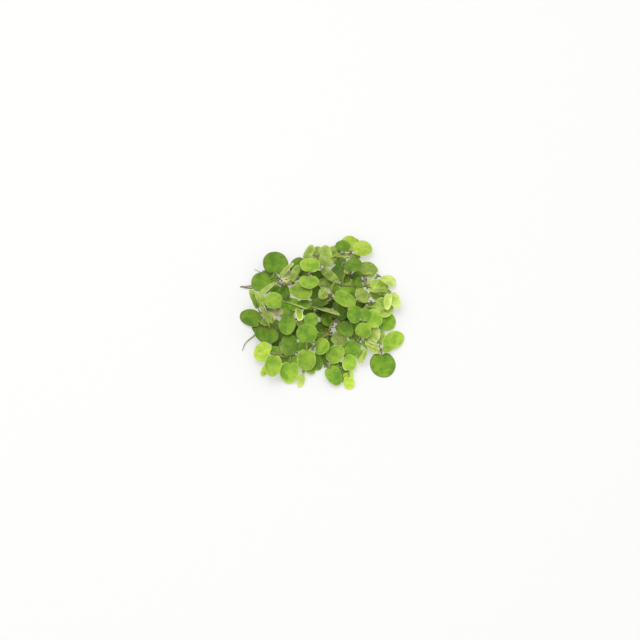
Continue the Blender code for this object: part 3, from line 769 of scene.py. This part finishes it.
stem_places = np.array([place for line in stem_lines.values() for place in line])
for name, (base, tip, half, roll, look) in LOW_LEAVES.items():
    base, tip = seen_at(*base), seen_at(*tip)
    chance = random.Random(name)
    along = tip - base
    long = np.linalg.norm(along)
    right = Vector(np.cross(along, (0, 0, 1)))
    up = np.array(Matrix.Rotation(math.radians(roll), 3, Vector(along)) @ right.cross(Vector(along)).normalized())
    bend = np.array((0.0, 0.12, 0.0, -0.12 / long, 0.0, 0.1 / (half * MM)))
    blade = Blade(base, along, up, long, half * MM, bend)
    start = stem_places[np.argmin(np.linalg.norm(stem_places - base, axis=1))]
    middle = (start + base) / 2 + np.array((0, 0, 0.3 * MM))
    shape = tubes(name, [((start, middle, base), (TWIG_RADIUS, TWIG_RADIUS, TWIG_RADIUS * 0.8))])
    for face in shape.faces:
        face.material_index = 3
    layers = leaf_layers(shape)
    grow_leaf(shape, blade, look, 0, layers, chance, hair)
    skin = LEAF_PAINTS[look[0]]
    piece = add_piece(f"lowleaf_{name}", shape, [skin, skin, hair_paint.material, stalk_paint.material])
    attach(piece, "root")

# The root tufts.
# The third leaf of a joint hangs in the water as a brown, feathery, root-like tuft. Out of the
# water its fine branches lie close along its middle thread. Some are bleached to straw.
ROOT_RADIUS = 0.26 * MM
THREAD_RADIUS = 0.07 * MM
ROOT_KINDS = {"root_left_front": "straw"}
ROOT_MORE = {"root_left_front": 2.4}
# More single roots and twigs between the leaves, placed as the low leaves are and named for the
# leaf pair whose joint is near.
STRANDS = {
    "at_back_left_3": (((-29.4, 20.4, 0.5), (-31.4, 20.9, 0.5), (-34.2, 22.4, 0.5)), 0.3, "pale"),
    "at_back_1": (((12.6, 18.7, 4.0), (14.1, 19.2, 4.5), (16.1, 18.4, 4.0)), 0.22, "brown"),
    "at_back_right_1": (((14.1, 17.7, 3.6), (14.8, 18.7, 4.2), (15.6, 17.2, 3.5)), 0.18, "brown"),
    "at_back_right_1_b": (((16.1, 19.2, 3.5), (18.1, 18.7, 3.6), (20.1, 19.4, 3.2)), 0.22, "brown"),
    "at_back_right_1_c": (((20.6, 19.7, 3.0), (21.6, 18.7, 3.2), (23.6, 19.2, 2.6)), 0.25, "brown"),
    "at_back_right_1_d": (((21.3, 19.2, 3.0), (21.8, 17.2, 2.2), (21.3, 14.7, 1.4)), 0.22, "brown"),
    "at_back_right_1_e": (((22.6, 12.7, 2.2), (23.6, 13.4, 2.6), (24.6, 12.7, 2.2), (24.1, 11.7, 1.8)), 0.18, "brown"),
    "at_right_2": (((20.6, 4.9, 5.2), (22.6, 4.4, 5.6), (24.6, 5.2, 5.0)), 0.22, "brown"),
    "at_right_2_b": (((22.1, 2.2, 5.6), (23.6, 2.9, 5.6), (25.6, 2.2, 5.0)), 0.22, "brown"),
    "at_back_2": (((4.6, 27.7, 3.6), (6.6, 28.9, 4.0), (8.6, 27.7, 4.2), (9.6, 28.7, 3.8)), 0.3, "brown"),
    "at_front_2": (((0.6, -25.8, 2.6), (1.6, -24.3, 2.6), (2.1, -26.8, 2.2)), 0.3, "brown"),
    "at_crest_1": (((0.1, 1.2, 7.5), (-0.7, -2.3, 5.5), (-0.2, -6.3, 3.6)), 0.24, "brown"),
    "at_main_3": (((1.3, 0.2, 6.5), (0.3, -3.8, 5.0), (0.8, -8.8, 3.0)), 0.22, "brown"),
    "at_front_1": (((-1.4, -5.3, 4.6), (1.1, -6.3, 4.0), (4.6, -7.8, 3.0)), 0.18, "brown"),
    "at_back_left_3_b": (((-33.7, 14.2, 0.9), (-36.7, 13.6, 0.8), (-41.2, 13.3, 0.4)), 1.0, "pale"),
    "at_back_left_3_c": (((-32.4, 12.7, 0.7), (-35.9, 12.6, 0.7), (-39.4, 13.0, 0.5)), 0.5, "brown"),
    "at_back_1_b": (((12.6, 19.7, 5.2), (13.6, 18.4, 5.2), (15.1, 19.2, 5.0), (16.1, 18.4, 4.6)), 0.29, "brown"),
    "at_back_right_1_f": (((13.6, 18.9, 5.0), (14.6, 19.7, 5.4), (15.6, 18.7, 5.0), (16.6, 19.4, 4.6)), 0.25, "brown"),
    "at_back_right_1_g": (((19.1, 19.7, 5.0), (20.1, 18.4, 5.2), (21.1, 19.4, 5.0), (22.1, 18.7, 4.4)), 0.29, "brown"),
    "at_back_right_1_h": (((20.6, 20.2, 5.0), (21.1, 18.2, 4.6), (20.8, 16.2, 3.6), (21.6, 14.7, 2.6)), 0.27, "brown"),
    "at_back_right_1_i": (((22.1, 19.9, 5.0), (23.1, 18.9, 4.6), (24.1, 19.7, 4.0), (24.6, 18.4, 3.2)), 0.25, "brown"),
    "at_back_right_1_j": (((22.1, 18.7, 4.4), (22.6, 16.7, 3.6), (22.1, 15.2, 2.6)), 0.23, "brown"),
    "at_back_2_b": (((5.6, 27.7, 5.4), (7.1, 28.4, 5.6), (8.6, 27.4, 5.6), (10.1, 28.2, 5.2)), 0.25, "brown"),
    "at_back_left_1": (((-22.4, 18.7, 4.5), (-20.9, 16.9, 4.6), (-17.9, 15.2, 4.2)), 0.22, "brown"),
    "at_right_front_1": (((12.1, -7.8, 3.4), (14.1, -9.3, 3.3), (15.1, -11.8, 3.2)), 0.22, "brown"),
    "at_right_front_1_b": (((13.6, -7.3, 3.4), (12.6, -9.8, 3.3), (14.1, -12.3, 3.2)), 0.18, "brown"),
    "at_right_front_2": (((20.1, -10.8, 4.0), (23.6, -13.3, 3.6), (28.6, -15.3, 2.6)), 0.3, "straw"),
    "at_right_front_2_b": (((20.6, -13.3, 3.6), (24.1, -15.3, 3.2), (29.1, -16.8, 2.2)), 0.3, "straw"),
    "at_right_front_2_c": (((21.6, -15.8, 3.2), (25.1, -17.3, 2.8), (28.6, -19.3, 1.8)), 0.3, "straw"),
    "at_right_front_2_d": (((23.1, -9.3, 4.4), (26.1, -12.3, 3.8), (29.1, -13.8, 2.6)), 0.3, "straw"),
    "at_inner_left_2": (((-29.4, 7.7, 5.6), (-28.2, 4.2, 5.2), (-26.9, 0.2, 4.4), (-25.4, -3.8, 3.2)), 0.2, "brown"),
    "at_back_left_1_b": (((-22.4, 15.2, 4.4), (-19.4, 16.7, 5.2), (-15.4, 17.7, 5.6), (-12.4, 18.2, 5.4)), 0.35, "twig"),
    "at_front_1_b": (((1.6, -7.8, 3.0), (4.6, -6.8, 3.2), (7.6, -7.3, 2.6)), 0.3, "straw"),
    "at_right_front_3": (((29.3, -17.3, 2.4), (29.6, -18.8, 2.0), (29.8, -20.3, 1.2)), 0.45, "brown"),
}

STRAND_COLOURS = {
    "brown": ((0.07, 0.045, 0.015), (0.19, 0.14, 0.05)),
    "straw": ((0.30, 0.31, 0.11), (0.46, 0.47, 0.22)),
    "pale": ((0.26, 0.25, 0.14), (0.42, 0.42, 0.27)),
    "twig": ((0.07, 0.09, 0.02), (0.16, 0.18, 0.05)),
}


def strand_paint(kind, dark, light):
    paint = Paint(f"root_{kind}", 0.75)
    patches = paint.step(paint.noise(900.0), 0.35, 0.65)
    paint.fill(paint.shader.inputs["Base Color"], paint.mix((*dark, 1), (*light, 1), patches))
    paint.shader.inputs["Specular IOR Level"].default_value = 0.2
    return paint.material


def root_lines(line, radius, threads, spread, chance):
    """The middle thread of a root, narrow at both ends, and the fine threads along it."""
    count = len(line)
    radii = [radius * (1 - 0.75 * number / (count - 1)) for number in range(count)]
    radii[0] *= 0.4
    lines = [(line, radii)]
    for _ in range(threads):
        start = chance.uniform(0.0, 0.75) * (count - 1)
        reach = chance.uniform(0.2, 0.5) * (count - 1)
        away = np.array([chance.gauss(0, 1), chance.gauss(0, 1), abs(chance.gauss(0, 0.5))]) * spread
        places = []
        for share in (0.0, 0.35, 0.7, 1.0):
            at = min(start + reach * share, count - 1)
            low = min(int(at), count - 2)
            place = line[low] + (line[low + 1] - line[low]) * (at - low)
            place = place + away * share * (1 - at / (count - 1) * 0.8)
            place[2] = max(place[2], 0.12 * MM)
            places.append(place)
        lines.append((places, [THREAD_RADIUS, THREAD_RADIUS, THREAD_RADIUS * 0.8, THREAD_RADIUS * 0.3]))
    return lines


root_paints = {kind: strand_paint(kind, *colours) for kind, colours in STRAND_COLOURS.items()}
for node in sorted(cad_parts):
    if not node.startswith("root_"):
        continue
    line = rod_line(node)
    from_stem = [np.linalg.norm(stem_places - end, axis=1).min() for end in (line[0], line[-1])]
    if from_stem[0] > from_stem[1]:
        line.reverse()
    lines = root_lines(line, ROOT_RADIUS * ROOT_MORE.get(node, 1.6), 26, 0.35 * MM, random.Random(node))
    piece = add_piece(f"tuft_{node[5:]}", tubes(node, lines), [root_paints[ROOT_KINDS.get(node, "brown")]])
    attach(piece, "root")
    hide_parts(node)

for kind, paint in root_paints.items():
    lines = []
    for name, (places, radius, strand_kind) in STRANDS.items():
        if strand_kind == kind:
            line = [seen_at(*place) for place in places]
            threads = {"brown": 12, "straw": 3, "pale": 3, "twig": 0}[kind]
            lines += root_lines(line, radius * MM, threads, 0.45 * MM, random.Random(name))
    piece = add_piece(f"strands_{kind}", tubes(kind, lines), [paint])
    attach(piece, "root")
